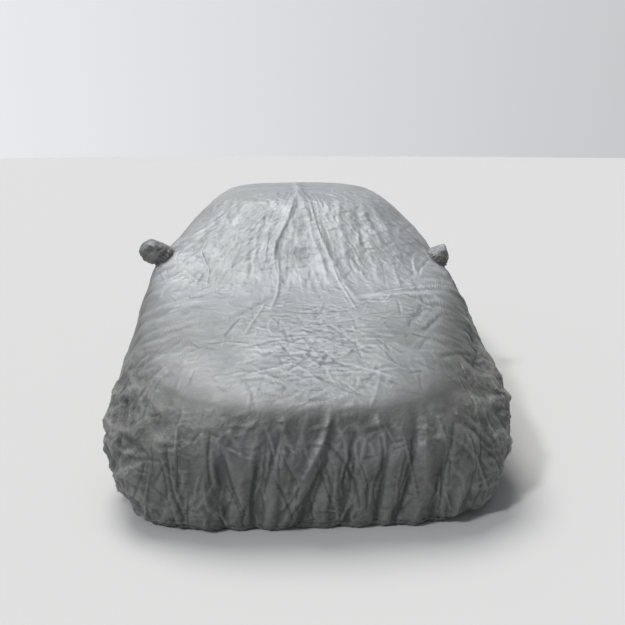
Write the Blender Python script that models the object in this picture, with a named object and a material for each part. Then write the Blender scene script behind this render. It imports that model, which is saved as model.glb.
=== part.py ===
"""A fitted car cover, drawn over a small hatchback that is left out: it is hollow.

Three panels are sewn along two straight seams, and each side panel has a mirror pocket sewn over a hole.
The cloth is one surface, S(turn, level): turn runs round the car from the nose, and level runs down from the
roof's middle to the elastic hem. The surface is cut into its panels, and each panel is thickened.

Lengths are metres. In the tables, "back" runs back from the nose and "up" runs up from the hem. In the part's
own frame +Z is up, the nose faces -Y, and the origin is under the roof, where the cover rests on the car.
"""

import math
from collections import namedtuple

import bmesh
import bpy
import numpy as np
from mathutils import Vector

# ---------------------------------------------------------------- driving dimensions

CLOTH = 0.0025  # thickness of the coated cloth
SEAM_X = 0.55  # the two long seams lie this far from the car's middle plane
SEAM_GAP = 0.0004  # between two panels, across a seam
SNAP = 0.006  # a point this near to a cut is moved onto it
REST_BACK = 2.55  # where the cover rests on the car's roof
REST_UP = 1.245  # height of the car's roof there

# The car's right mirror, on the -X side, stands out. Its left one is folded in, and that pocket is slack.
Mirror = namedtuple("Mirror", "side tent reach lift half_length half_height")
MIRROR_BACK = 1.50
MIRROR_UP = 0.90
PANEL_OUT = 0.85  # beside the mirrors, the side panels lie about this far out
RIGHT_MIRROR = Mirror(-1, 0.055, 0.150, 0.035, 0.088, 0.084)
LEFT_MIRROR = Mirror(+1, 0.012, 0.075, 0.012, 0.080, 0.070)
MOUTH_SIDES = 10  # sides of a pocket's mouth
MOUTH_HALF_LENGTH = 0.085
MOUTH_HALF_HEIGHT = 0.070
MOUTH_ZONE = 0.20  # all that belongs to a mouth lies within this of its middle
CUT_ZONE = 0.30  # the mouth's cuts run on this far
JOIN_ZONE = 0.40  # flat pieces left by the cuts are joined within this
FLAT = math.radians(0.3)  # faces that bend less than this are joined
NECK = 0.055  # how far a pocket runs straight out of the panel
POCKET_ROWS = ((0.14, 1.00), (0.32, 1.02), (0.52, 0.98), (0.70, 0.86), (0.86, 0.64), (0.96, 0.36))

FRONT_SPACING = 0.040  # distance between neighbouring points round the nose
SIDE_SPACING = 0.14
REAR_SPACING = 0.09
ROOF_SPREAD = 1.5  # the points of the roof's rings are this much further apart

# Nested rings, from the roof's middle down to the hem. "front" and "rear" are their ends, measured back from
# the nose, "middle" is where they are widest, and a corner of 2 is an ellipse's, with larger ones squarer.
Ring = namedtuple(
    "Ring",
    "level front middle rear half_width right_corner left_corner rear_corner up_front up_side up_rear",
)
RINGS = (
    Ring(0.00, 2.44, 2.55, 2.70, 0.030, 2.0, 2.0, 2.0, 1.250, 1.250, 1.250),  # roof's middle
    Ring(0.10, 2.12, 2.55, 3.10, 0.365, 2.8, 3.4, 2.8, 1.243, 1.238, 1.228),  # roof
    Ring(0.18, 1.88, 2.55, 3.45, 0.535, 3.6, 4.8, 3.4, 1.212, 1.208, 1.165),  # roof's edge
    Ring(0.30, 1.55, 2.40, 3.74, 0.712, 3.3, 3.9, 3.4, 1.030, 1.080, 1.005),  # windscreen
    Ring(0.44, 1.12, 2.00, 3.93, 0.855, 3.0, 3.2, 3.6, 0.800, 0.880, 0.800),  # windscreen's foot
    Ring(0.57, 0.60, 1.75, 4.02, 0.910, 2.8, 2.8, 3.8, 0.700, 0.740, 0.665),  # bonnet
    Ring(0.68, 0.16, 1.70, 4.08, 0.940, 2.8, 2.8, 4.0, 0.582, 0.640, 0.560),  # bonnet's front
    Ring(0.72, 0.06, 1.70, 4.10, 0.952, 2.9, 2.9, 4.2, 0.532, 0.590, 0.510),  # bonnet's edge
    Ring(0.76, 0.02, 1.70, 4.12, 0.963, 3.7, 3.7, 4.4, 0.457, 0.500, 0.440),
    Ring(0.82, 0.00, 1.70, 4.14, 0.966, 5.0, 5.0, 4.6, 0.345, 0.370, 0.340),
    Ring(0.90, 0.00, 1.70, 4.15, 0.960, 6.0, 5.6, 5.0, 0.190, 0.200, 0.190),  # bumper
    Ring(0.97, 0.03, 1.70, 4.12, 0.930, 6.0, 5.2, 5.0, 0.045, 0.060, 0.045),  # hem's casing
    Ring(1.00, 0.05, 1.70, 4.10, 0.908, 5.6, 4.8, 5.0, 0.000, 0.018, 0.005),  # hem
)
LEVELS = (
    0.07, 0.12, 0.18, 0.24, 0.31, 0.38, 0.44, 0.51, 0.58, 0.64, 0.69, 0.73, 0.77, 0.82, 0.88, 0.94,
    0.975, 1.00,
)  # fmt: skip


def smooth_column(name, level):
    """Reads one column of RINGS at any level, along a curve that never overshoots its rows."""
    at = np.array([ring.level for ring in RINGS])
    value = np.array([getattr(ring, name) for ring in RINGS])
    step = np.diff(at)
    slope = np.diff(value) / step
    tangent = np.zeros(len(at))
    for i in range(1, len(at) - 1):
        if slope[i - 1] * slope[i] > 0:
            w0 = 2 * step[i] + step[i - 1]
            w1 = step[i] + 2 * step[i - 1]
            tangent[i] = (w0 + w1) / (w0 / slope[i - 1] + w1 / slope[i])
    tangent[0] = slope[0]
    tangent[-1] = slope[-1]
    k = min(max(int(np.searchsorted(at, level, "right")) - 1, 0), len(step) - 1)
    t = (level - at[k]) / step[k]
    return float(
        value[k] * (1 + 2 * t) * (1 - t) ** 2
        + tangent[k] * step[k] * t * (1 - t) ** 2
        + value[k + 1] * t * t * (3 - 2 * t)
        + tangent[k + 1] * step[k] * t * t * (t - 1)
    )


def ring_at(level):
    columns = Ring._fields[1:]
    return Ring(level, *(smooth_column(name, level) for name in columns))


def signed_power(value, power):
    return math.copysign(abs(value) ** power, value)


def on_ring(ring, turn):
    """A point of a ring. The turn is 0 at the nose, a quarter at +X, and a half at the tail."""
    across = math.sin(turn)
    ahead = math.cos(turn)
    if ahead < 0:
        corner = ring.rear_corner
        reach = ring.rear - ring.middle
        up_end = ring.up_rear
    else:
        share = 0.5 + 0.5 * math.tanh(4 * across)
        corner = ring.right_corner + (ring.left_corner - ring.right_corner) * share
        reach = ring.middle - ring.front
        up_end = ring.up_front
    x = ring.half_width * signed_power(across, 2 / corner)
    back = ring.middle - reach * signed_power(ahead, 2 / corner)
    up = up_end * ahead**2 + ring.up_side * across**2
    return Vector((x, back, up))


# ---------------------------------------------------------------- folds

# A fold is a ridge, or with a height below 0 a trough, along a straight line on the cloth. Its ends fade out.
# Top folds are laid out on the plan, nose folds on the front view, and side folds on the side view.
Fold = namedtuple("Fold", "x0 back0 x1 back1 height width")
TOP_FOLDS = (
    Fold(-0.03, 2.75, -0.02, 1.95, 0.022, 0.032),
    Fold(-0.02, 2.00, 0.06, 1.45, 0.008, 0.024),
    Fold(0.06, 1.45, 0.13, 1.15, 0.008, 0.024),
    Fold(0.07, 1.60, 0.26, 0.95, 0.007, 0.024),
    Fold(-0.05, 1.95, -0.13, 1.45, 0.006, 0.024),
    Fold(-0.10, 1.60, -0.20, 1.05, 0.006, 0.026),
    Fold(-0.24, 1.75, -0.34, 1.15, 0.005, 0.024),
    Fold(-0.36, 1.85, -0.52, 1.25, 0.006, 0.026),
    Fold(-0.48, 1.90, -0.62, 1.50, -0.006, 0.026),
    Fold(0.22, 1.80, 0.24, 1.30, 0.005, 0.024),
    Fold(0.34, 1.80, 0.36, 1.20, -0.005, 0.024),
    Fold(0.45, 1.85, 0.55, 1.45, 0.005, 0.026),
    Fold(0.32, 0.98, 0.78, 1.05, 0.010, 0.025),
    Fold(0.50, 0.68, 0.60, 0.86, -0.008, 0.022),
    Fold(-0.35, 0.78, -0.22, 0.95, -0.006, 0.025),
    Fold(-0.02, 0.55, 0.20, 0.42, 0.005, 0.028),
    Fold(-0.26, 0.40, -0.03, 0.50, 0.005, 0.028),
)
Pleat = namedtuple("Pleat", "x_top up_top x_hem height width")
NOSE_PLEATS = (
    Pleat(-0.57, 0.42, -0.54, -0.010, 0.022),
    Pleat(-0.47, 0.36, -0.46, 0.010, 0.035),
    Pleat(-0.38, 0.40, -0.38, -0.014, 0.026),
    Pleat(-0.30, 0.34, -0.32, 0.010, 0.030),
    Pleat(-0.23, 0.36, -0.26, -0.014, 0.026),
    Pleat(-0.12, 0.52, -0.20, 0.012, 0.026),
    Pleat(0.07, 0.54, -0.15, 0.016, 0.022),
    Pleat(0.05, 0.42, -0.08, -0.014, 0.022),
    Pleat(0.04, 0.24, 0.03, 0.010, 0.030),
    Pleat(0.17, 0.45, 0.10, -0.015, 0.026),
    Pleat(0.21, 0.40, 0.18, 0.010, 0.030),
    Pleat(0.29, 0.45, 0.25, -0.012, 0.024),
    Pleat(0.41, 0.50, 0.33, -0.016, 0.026),
    Pleat(0.46, 0.42, 0.42, 0.012, 0.030),
    Pleat(0.53, 0.40, 0.49, -0.012, 0.024),
    Pleat(0.62, 0.36, 0.58, 0.012, 0.030),
)

# Crumples at the nose's corners, and long soft folds that fall from the mirrors and the windows.
RIGHT_FOLDS = (
    Fold(0.44, 0.46, 0.26, 0.36, 0.020, 0.045),
    Fold(0.48, 0.25, 0.26, 0.29, 0.020, 0.045),
    Fold(0.30, 0.22, 0.20, 0.02, -0.022, 0.035),
    Fold(0.60, 0.40, 0.42, 0.12, -0.018, 0.055),
    Fold(0.22, 0.50, 0.16, 0.32, 0.014, 0.040),
    Fold(1.40, 0.80, 1.05, 0.25, 0.018, 0.090),
    Fold(1.62, 0.78, 1.85, 0.20, -0.016, 0.090),
    Fold(2.30, 0.80, 2.20, 0.15, 0.014, 0.100),
    Fold(2.90, 0.85, 3.05, 0.18, -0.014, 0.100),
    Fold(3.45, 0.80, 3.60, 0.20, 0.016, 0.090),
)
LEFT_FOLDS = (
    Fold(0.80, 0.62, 0.42, 0.59, -0.018, 0.035),
    Fold(0.62, 0.50, 0.34, 0.43, 0.020, 0.045),
    Fold(0.46, 0.30, 0.28, 0.12, 0.018, 0.045),
    Fold(0.32, 0.36, 0.22, 0.10, -0.016, 0.040),
    Fold(0.70, 0.34, 0.60, 0.06, -0.014, 0.055),
    Fold(1.38, 0.78, 1.15, 0.22, 0.014, 0.090),
    Fold(1.66, 0.80, 1.80, 0.25, -0.016, 0.090),
    Fold(2.40, 0.82, 2.55, 0.18, 0.014, 0.100),
    Fold(3.00, 0.84, 2.90, 0.15, -0.012, 0.100),
    Fold(3.50, 0.82, 3.70, 0.22, 0.014, 0.090),
)


def line_relief(u, v, fold):
    """Height of one fold at (u, v), for a fold whose ends are given in the same two measures."""
    u0, v0, u1, v1, height, width = fold
    du = u1 - u0
    dv = v1 - v0
    length = math.hypot(du, dv)
    along = ((u - u0) * du + (v - v0) * dv) / length
    off = ((u - u0) * dv - (v - v0) * du) / length
    past = max(0.0, -along, along - length)
    middle = min(max(along / length, 0.0), 1.0)
    swell = 0.55 + 0.45 * math.sin(math.pi * middle)
    return height * swell * math.exp(-((off / width) ** 2) - (past / (2 * width)) ** 2)


def pleat_relief(x, up, pleat):
    """Height of one upright pleat, which starts at its top and deepens down to the hem."""
    drop = min(max((pleat.up_top - up) / pleat.up_top, -0.5), 1.0)
    centre = pleat.x_top + (pleat.x_hem - pleat.x_top) * drop
    depth = 1 / (1 + math.exp(-14 * (drop - 0.12)))
    held = 0.45 + 0.55 * ease(0.0, 0.09, up)
    return pleat.height * depth * held * math.exp(-(((x - centre) / pleat.width) ** 2))


def ease(low, high, value):
    t = min(max((value - low) / (high - low), 0.0), 1.0)
    return t * t * (3 - 2 * t)


def relief(point, turn, level):
    """How far the folds lift the cloth off its smooth surface."""
    x, back, up = point
    ahead = math.cos(turn)
    top = 1 - ease(0.66, 0.74, level)
    nose = ease(0.66, 0.74, level) * ease(0.15, 0.45, ahead)
    height = 0.0
    if top > 0 and back < 2.9:
        height += top * sum(line_relief(x, back, fold) for fold in TOP_FOLDS)
    if nose > 0:
        height += nose * sum(pleat_relief(x, up, pleat) for pleat in NOSE_PLEATS)
    flank = ease(0.62, 0.78, abs(x)) * (1 - ease(0.90, 1.0, up)) * (0.4 + 0.6 * ease(0.0, 0.09, up))
    if flank > 0:
        folds = RIGHT_FOLDS if x < 0 else LEFT_FOLDS
        height += flank * sum(line_relief(back, up, fold) for fold in folds)
    return height


def mirror_tent(point):
    """The cloth is drawn out from each side towards the door mirror."""
    x, back, up = point
    reach = RIGHT_MIRROR.tent if x < 0 else LEFT_MIRROR.tent
    near = math.exp(-(((back - MIRROR_BACK) / 0.34) ** 2) - ((up - MIRROR_UP) / 0.17) ** 2)
    return Vector((math.copysign(reach * near, x), 0.0, 0.3 * reach * near))


def cloth_point(turn, level):
    ring = ring_at(level)
    lower = ring_at(min(level + 0.004, 1.0))
    upper = ring_at(max(level - 0.004, 0.0))
    base = on_ring(ring, turn)
    round_ring = on_ring(ring, turn + 0.01) - on_ring(ring, turn - 0.01)
    down = on_ring(lower, turn) - on_ring(upper, turn)
    normal = down.cross(round_ring).normalized()
    point = base + normal * relief(base, turn, level) + mirror_tent(base)
    return Vector((point.x, point.y - REST_BACK, point.z - REST_UP))


# ---------------------------------------------------------------- the surface's points


def wanted_spacing(turn, level):
    ahead = math.cos(turn)
    nose = ease(0.0, 0.6, ahead)
    tail = ease(0.2, 0.8, -ahead)
    low = SIDE_SPACING + (FRONT_SPACING - SIDE_SPACING) * nose + (REAR_SPACING - SIDE_SPACING) * tail
    return low * (1 + (ROOF_SPREAD - 1) * (1 - ease(0.2, 0.7, level)))


def ring_turns(level, samples=720):
    """Turns of one ring's points, spaced as the nose, the sides and the tail each want."""
    ring = ring_at(level)
    turns = [2 * math.pi * (i + 0.5) / samples for i in range(samples + 1)]
    points = [on_ring(ring, turn) for turn in turns]
    total = [0.0]
    for i in range(samples):
        total.append(total[-1] + (points[i + 1] - points[i]).length / wanted_spacing(turns[i], level))
    count = max(8, round(total[-1]))
    marks = [total[-1] * (i + 0.5) / count for i in range(count)]
    return [float(np.interp(mark, total, turns)) for mark in marks]


def zip_rings(bm, outer, inner):
    """Triangles between two rings of (turn, vertex) pairs that may differ in number."""
    i = j = 0
    while i < len(outer) or j < len(inner):
        here_o = outer[i % len(outer)][1]
        here_i = inner[j % len(inner)][1]
        next_o = outer[(i + 1) % len(outer)]
        next_i = inner[(j + 1) % len(inner)]
        turn_o = next_o[0] + (2 * math.pi if i + 1 >= len(outer) else 0)
        turn_i = next_i[0] + (2 * math.pi if j + 1 >= len(inner) else 0)
        if j >= len(inner) or (i < len(outer) and turn_o <= turn_i):
            bm.faces.new((here_o, next_o[1], here_i))
            i += 1
        else:
            bm.faces.new((here_o, next_i[1], here_i))
            j += 1


def whole_surface():
    bm = bmesh.new()
    crown = bm.verts.new(cloth_point(0.0, 0.0).lerp(cloth_point(math.pi, 0.0), 0.5))
    inner = None
    for level in LEVELS:
        ring = [(turn, bm.verts.new(cloth_point(turn, level))) for turn in ring_turns(level)]
        if inner is None:
            for i, (_, vert) in enumerate(ring):
                bm.faces.new((vert, ring[(i + 1) % len(ring)][1], crown))
        else:
            zip_rings(bm, ring, inner)
        inner = ring
    return bm


# ---------------------------------------------------------------- cutting the cloth


def cut(bm, faces, point, normal):
    """Cuts faces along a plane, after moving the points that almost lie on it."""
    verts = {vert for face in faces for vert in face.verts}
    for vert in verts:
        off = (vert.co - point).dot(normal)
        if abs(off) < SNAP:
            vert.co -= normal * off
    edges = {edge for face in faces for edge in face.edges}
    bmesh.ops.bisect_plane(
        bm, geom=list(faces) + list(edges) + list(verts), dist=1e-6, plane_co=point, plane_no=normal
    )


def mirror_frame(bm, mirror):
    """The middle of a pocket's mouth, and its directions along, up and out of the cloth."""
    target = Vector((mirror.side * PANEL_OUT, MIRROR_BACK - REST_BACK, MIRROR_UP - REST_UP))
    nearest_face = min(bm.faces, key=lambda face: (face.calc_center_median() - target).length)
    out = nearest_face.normal.copy()
    centre = target - out * (target - nearest_face.calc_center_median()).dot(out)
    along = Vector((0.0, 1.0, 0.0))
    along = (along - out * along.dot(out)).normalized()
    return centre, along, out.cross(along) * mirror.side, out


def cut_mouth(bm, mirror):
    """Cuts a many-sided mouth out of a side panel, and returns its rim in order with its frame."""
    centre, along, rise, out = mirror_frame(bm, mirror)
    planes = []
    for i in range(MOUTH_SIDES):
        angle = 2 * math.pi * (i + 0.5) / MOUTH_SIDES
        point = centre + along * (MOUTH_HALF_LENGTH * math.cos(angle))
        point = point + rise * (MOUTH_HALF_HEIGHT * math.sin(angle))
        normal = along * (math.cos(angle) / MOUTH_HALF_LENGTH)
        normal = (normal + rise * (math.sin(angle) / MOUTH_HALF_HEIGHT)).normalized()
        planes.append((point, normal))
    for point, normal in planes:
        near = [face for face in bm.faces if (face.calc_center_median() - centre).length < CUT_ZONE]
        cut(bm, near, point, normal)
    inside = []
    for face in bm.faces:
        middle = face.calc_center_median()
        if (middle - centre).length < MOUTH_ZONE and all((middle - p).dot(n) < 0 for p, n in planes):
            inside.append(face)
    bmesh.ops.delete(bm, geom=inside, context="FACES")
    merge_flat_faces(bm, centre)
    rim = [vert for vert in bm.verts if vert.is_boundary and (vert.co - centre).length < MOUTH_ZONE]
    ordered = sorted(
        rim, key=lambda vert: math.atan2((vert.co - centre).dot(rise), (vert.co - centre).dot(along))
    )
    return [vert.co.copy() for vert in ordered], (centre, along, rise, out)


def merge_flat_faces(bm, centre):
    """Joins the flat pieces that the cuts left round a mouth."""
    near = set()
    for face in bm.faces:
        middle = face.calc_center_median()
        if (middle - centre).length < JOIN_ZONE and abs(middle.x) > SEAM_X:
            near.add(face)
    edges = [edge for edge in bm.edges if all(face in near for face in edge.link_faces)]
    verts = {vert for edge in edges for vert in edge.verts}
    verts = [vert for vert in verts if all(face in near for face in vert.link_faces)]
    bmesh.ops.dissolve_limit(bm, angle_limit=FLAT, use_dissolve_boundaries=False, verts=verts, edges=edges)


def cut_cloth():
    """The whole cloth, cut along both seams and with its two mouths open."""
    bm = whole_surface()
    for side in (-1, 1):
        cut(bm, bm.faces[:], Vector((side * SEAM_X, 0.0, 0.0)), Vector((side, 0.0, 0.0)))
    bm.normal_update()
    mouths = [cut_mouth(bm, mirror) for mirror in (RIGHT_MIRROR, LEFT_MIRROR)]
    bmesh.ops.remove_doubles(bm, verts=bm.verts[:], dist=0.003)
    bmesh.ops.triangulate(bm, faces=bm.faces[:])
    bm.normal_update()
    return bm, mouths


# ---------------------------------------------------------------- pockets


def pocket_surface(mirror, mouth):
    """A bag from the mouth, out over the mirror. Its mouth lies just inside the hole in the panel."""
    rim, (centre, along, rise, out) = mouth
    inset = 1 - (CLOTH / 2 + 3 * SEAM_GAP) / MOUTH_HALF_HEIGHT
    tip = centre + Vector((mirror.side * mirror.reach, 0.0, mirror.lift))
    neck = centre + out * NECK
    bm = bmesh.new()
    outer = [bm.verts.new(centre + (point - centre) * inset) for point in rim]
    angles = [math.atan2((point - centre).dot(rise), (point - centre).dot(along)) for point in rim]
    for share, girth in POCKET_ROWS:
        middle = centre.lerp(neck, share).lerp(neck.lerp(tip, share), share)
        settle = ease(0.12, 0.75, share)
        row = []
        for point, angle in zip(rim, angles):
            crease = 1 + 0.07 * math.sin(3 * angle + 4 * share) + 0.05 * math.sin(5 * angle - 7 * share)
            oval = Vector((0.0, math.cos(angle) * mirror.half_length, math.sin(angle) * mirror.half_height))
            spoke = ((point - centre) * inset).lerp(oval * crease, settle) * girth
            row.append(bm.verts.new(middle + spoke))
        for i in range(len(row)):
            j = (i + 1) % len(row)
            bm.faces.new((outer[i], outer[j], row[j], row[i]))
        outer = row
    end = bm.verts.new(tip)
    for i in range(len(outer)):
        bm.faces.new((outer[i], outer[(i + 1) % len(outer)], end))
    if mirror.side > 0:
        bmesh.ops.reverse_faces(bm, faces=bm.faces[:])
    bmesh.ops.triangulate(bm, faces=bm.faces[:])
    bm.normal_update()
    return bm


# ---------------------------------------------------------------- solids


def thicken(name, faces, shift):
    """One closed solid from faces of a thin surface. The shift moves the points of its cut edges."""
    faces = set(faces)
    verts = {vert for face in faces for vert in face.verts}
    solid = bmesh.new()
    outer = {}
    inner = {}
    for vert in sorted(verts, key=lambda v: v.index):
        place = vert.co + shift(vert, faces)
        outer[vert] = solid.verts.new(place + vert.normal * (CLOTH / 2))
        inner[vert] = solid.verts.new(place - vert.normal * (CLOTH / 2))
    for face in sorted(faces, key=lambda f: f.index):
        solid.faces.new([outer[vert] for vert in face.verts])
        solid.faces.new([inner[vert] for vert in reversed(face.verts)])
        for loop in face.loops:
            if sum(other in faces for other in loop.edge.link_faces) == 1:
                a = loop.vert
                b = loop.link_loop_next.vert
                solid.faces.new((outer[b], outer[a], inner[a], inner[b]))
    bmesh.ops.triangulate(solid, faces=solid.faces[:])
    mesh = bpy.data.meshes.new(name)
    solid.to_mesh(mesh)
    solid.free()
    mesh.shade_smooth()
    mesh.set_sharp_from_angle(angle=math.radians(50))
    piece = bpy.data.objects.new(name, mesh)
    bpy.context.scene.collection.objects.link(piece)
    mesh.materials.append(coated_cloth(name))
    return piece


def coated_cloth(name):
    """Silver-grey coated polyester: a soft, slightly metallic sheen."""
    material = bpy.data.materials.new(name)
    material.use_nodes = True
    shader = material.node_tree.nodes["Principled BSDF"]
    shader.inputs["Base Color"].default_value = (0.33, 0.34, 0.36, 1.0)
    shader.inputs["Roughness"].default_value = 0.50
    shader.inputs["Metallic"].default_value = 0.30
    return material


def seam_shift(vert, faces):
    """Draws a panel's edge back from the seam, so that the next panel has room."""
    crosses = any(face not in faces for face in vert.link_faces)
    if not crosses:
        return Vector()
    middle = sum(face.calc_center_median().x for face in vert.link_faces if face in faces)
    away = middle / sum(face in faces for face in vert.link_faces) - vert.co.x
    return Vector((math.copysign(SEAM_GAP / 2, away), 0.0, 0.0))


def no_shift(vert, faces):
    return Vector()


def build():
    for old in list(bpy.data.objects):
        bpy.data.objects.remove(old, do_unlink=True)
    cloth, mouths = cut_cloth()
    cloth.verts.index_update()
    cloth.faces.index_update()
    panels = {"centre_panel": [], "right_panel": [], "left_panel": []}
    for face in cloth.faces:
        x = face.calc_center_median().x
        name = "centre_panel" if abs(x) < SEAM_X else ("right_panel" if x < 0 else "left_panel")
        panels[name].append(face)
    for name, faces in panels.items():
        thicken(name, faces, seam_shift)
    cloth.free()
    for name, mirror, mouth in zip(
        ("right_mirror_pocket", "left_mirror_pocket"), (RIGHT_MIRROR, LEFT_MIRROR), mouths
    ):
        bag = pocket_surface(mirror, mouth)
        bag.verts.index_update()
        bag.faces.index_update()
        thicken(name, bag.faces[:], no_shift)
        bag.free()


build()
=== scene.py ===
"""Looks of the car cover: thin sheets on the solids' folds, with the cloth's creases, seams and hem.

The cloth is the same surface as in the part's source: nested rings, from the roof's middle to the hem.
Lengths are metres. In the tables and functions that shape the cloth, "back" runs back from the nose and "up"
runs up from the hem. to_frame() moves the finished points into the part's frame.
"""

import math
from collections import namedtuple

import bpy
import numpy as np
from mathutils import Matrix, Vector


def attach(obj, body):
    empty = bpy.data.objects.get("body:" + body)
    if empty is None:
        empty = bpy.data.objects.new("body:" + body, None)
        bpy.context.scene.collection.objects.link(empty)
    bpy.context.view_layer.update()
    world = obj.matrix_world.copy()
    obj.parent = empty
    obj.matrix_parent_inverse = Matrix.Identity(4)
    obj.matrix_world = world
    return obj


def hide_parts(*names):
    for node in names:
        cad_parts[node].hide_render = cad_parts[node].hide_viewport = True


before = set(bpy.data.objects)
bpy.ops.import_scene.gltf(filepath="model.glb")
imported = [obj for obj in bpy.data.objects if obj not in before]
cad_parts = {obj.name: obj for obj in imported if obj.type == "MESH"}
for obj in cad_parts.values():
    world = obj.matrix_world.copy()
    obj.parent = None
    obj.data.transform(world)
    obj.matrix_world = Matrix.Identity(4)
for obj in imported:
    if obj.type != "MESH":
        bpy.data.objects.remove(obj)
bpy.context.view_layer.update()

# ---------------------------------------------------------------- sizes from the part's source

SEAM_X = 0.55
REST_BACK = 2.55
REST_UP = 1.245
MIRROR_BACK = 1.50
MIRROR_UP = 0.90
PANEL_OUT = 0.85  # beside the mirrors, the side panels lie about this far out

Ring = namedtuple(
    "Ring",
    "level front middle rear half_width right_corner left_corner rear_corner up_front up_side up_rear",
)
RINGS = (
    Ring(0.00, 2.44, 2.55, 2.70, 0.030, 2.0, 2.0, 2.0, 1.250, 1.250, 1.250),  # roof's middle
    Ring(0.10, 2.12, 2.55, 3.10, 0.365, 2.8, 3.4, 2.8, 1.243, 1.238, 1.228),  # roof
    Ring(0.18, 1.88, 2.55, 3.45, 0.535, 3.6, 4.8, 3.4, 1.212, 1.208, 1.165),  # roof's edge
    Ring(0.30, 1.55, 2.40, 3.74, 0.712, 3.3, 3.9, 3.4, 1.030, 1.080, 1.005),  # windscreen
    Ring(0.44, 1.12, 2.00, 3.93, 0.855, 3.0, 3.2, 3.6, 0.800, 0.880, 0.800),  # windscreen's foot
    Ring(0.57, 0.60, 1.75, 4.02, 0.910, 2.8, 2.8, 3.8, 0.700, 0.740, 0.665),  # bonnet
    Ring(0.68, 0.16, 1.70, 4.08, 0.940, 2.8, 2.8, 4.0, 0.582, 0.640, 0.560),  # bonnet's front
    Ring(0.72, 0.06, 1.70, 4.10, 0.952, 2.9, 2.9, 4.2, 0.532, 0.590, 0.510),  # bonnet's edge
    Ring(0.76, 0.02, 1.70, 4.12, 0.963, 3.7, 3.7, 4.4, 0.457, 0.500, 0.440),
    Ring(0.82, 0.00, 1.70, 4.14, 0.966, 5.0, 5.0, 4.6, 0.345, 0.370, 0.340),
    Ring(0.90, 0.00, 1.70, 4.15, 0.960, 6.0, 5.6, 5.0, 0.190, 0.200, 0.190),  # bumper
    Ring(0.97, 0.03, 1.70, 4.12, 0.930, 6.0, 5.2, 5.0, 0.045, 0.060, 0.045),  # hem's casing
    Ring(1.00, 0.05, 1.70, 4.10, 0.908, 5.6, 4.8, 5.0, 0.000, 0.018, 0.005),  # hem
)
BONNET_EDGE = 0.72  # level of the ring where the bonnet turns down to the nose

Mirror = namedtuple("Mirror", "side tent reach lift half_length half_height")
RIGHT_MIRROR = Mirror(-1, 0.055, 0.150, 0.035, 0.088, 0.084)
LEFT_MIRROR = Mirror(+1, 0.012, 0.075, 0.012, 0.080, 0.070)

# ---------------------------------------------------------------- the smooth surface


def ring_columns():
    """Values and tangents of each column of RINGS, for a curve that never overshoots its rows."""
    at = np.array([ring.level for ring in RINGS])
    step = np.diff(at)
    columns = {}
    for name in Ring._fields[1:]:
        value = np.array([getattr(ring, name) for ring in RINGS])
        slope = np.diff(value) / step
        tangent = np.zeros(len(at))
        tangent[0] = slope[0]
        tangent[-1] = slope[-1]
        for i in range(1, len(at) - 1):
            if slope[i - 1] * slope[i] > 0:
                w0 = 2 * step[i] + step[i - 1]
                w1 = step[i] + 2 * step[i - 1]
                tangent[i] = (w0 + w1) / (w0 / slope[i - 1] + w1 / slope[i])
        columns[name] = (value, tangent)
    return at, step, columns


AT, STEP, COLUMNS = ring_columns()


def ring_at(level):
    """Every column at each of many levels."""
    k = np.clip(np.searchsorted(AT, level, "right") - 1, 0, len(STEP) - 1)
    h = STEP[k]
    t = (level - AT[k]) / h
    found = {}
    for name, (value, tangent) in COLUMNS.items():
        found[name] = (
            value[k] * (1 + 2 * t) * (1 - t) ** 2
            + tangent[k] * h * t * (1 - t) ** 2
            + value[k + 1] * t * t * (3 - 2 * t)
            + tangent[k + 1] * h * t * t * (t - 1)
        )
    return found


def signed_power(value, power):
    return np.sign(value) * np.abs(value) ** power


def ring_shape(ring, across, ahead):
    """Corner, reach and end height of the half ring, front or rear, that a direction lies in."""
    share = 0.5 + 0.5 * np.tanh(4 * across)
    front_corner = ring["right_corner"] + (ring["left_corner"] - ring["right_corner"]) * share
    rear = ahead < 0
    corner = np.where(rear, ring["rear_corner"], front_corner)
    reach = np.where(rear, ring["rear"] - ring["middle"], ring["middle"] - ring["front"])
    end_up = np.where(rear, ring["up_rear"], ring["up_front"])
    return corner, reach, end_up


def on_rings(turn, level):
    """Smooth points (x, back, up). The turn is 0 at the nose and a quarter at +X."""
    ring = ring_at(level)
    across = np.sin(turn)
    ahead = np.cos(turn)
    corner, reach, end_up = ring_shape(ring, across, ahead)
    x = ring["half_width"] * signed_power(across, 2 / corner)
    back = ring["middle"] - reach * signed_power(ahead, 2 / corner)
    up = end_up * ahead**2 + ring["up_side"] * across**2
    return np.stack((x, back, up), -1)


def turn_at(x, level, rear):
    """The turn at which a ring has this x, on its front or its rear half."""
    ring = ring_at(level)
    share = np.clip(np.abs(x) / ring["half_width"], 0, 1)
    across = np.sign(x) * share
    for step in range(12):
        corner, reach, end_up = ring_shape(ring, across, np.full(x.shape, -1.0 if rear else 1.0))
        across = np.sign(x) * share ** (corner / 2)
    turn = np.arcsin(across)
    return np.pi - turn if rear else turn


def level_over(x, back):
    """The level and turn of the top's point over (x, back)."""
    low = np.full(x.shape, 1e-4)
    high = np.full(x.shape, 0.80)
    for _ in range(26):
        level = (low + high) / 2
        ring = ring_at(level)
        ahead = np.where(back > ring["middle"], -1.0, 1.0)
        across = np.clip(x / ring["half_width"], -1, 1)
        corner, reach, _ = ring_shape(ring, across, ahead)
        size = np.abs(x / ring["half_width"]) ** corner + np.abs((back - ring["middle"]) / reach) ** corner
        high = np.where(size < 1, level, high)
        low = np.where(size < 1, low, level)
    side = signed_power(x / ring["half_width"], corner / 2)
    along = signed_power((ring["middle"] - back) / reach, corner / 2)
    return level, np.arctan2(side, along)


def ease(low, high, value):
    t = np.clip((value - low) / (high - low), 0, 1)
    return t * t * (3 - 2 * t)


# ---------------------------------------------------------------- folds of the part's source

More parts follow.
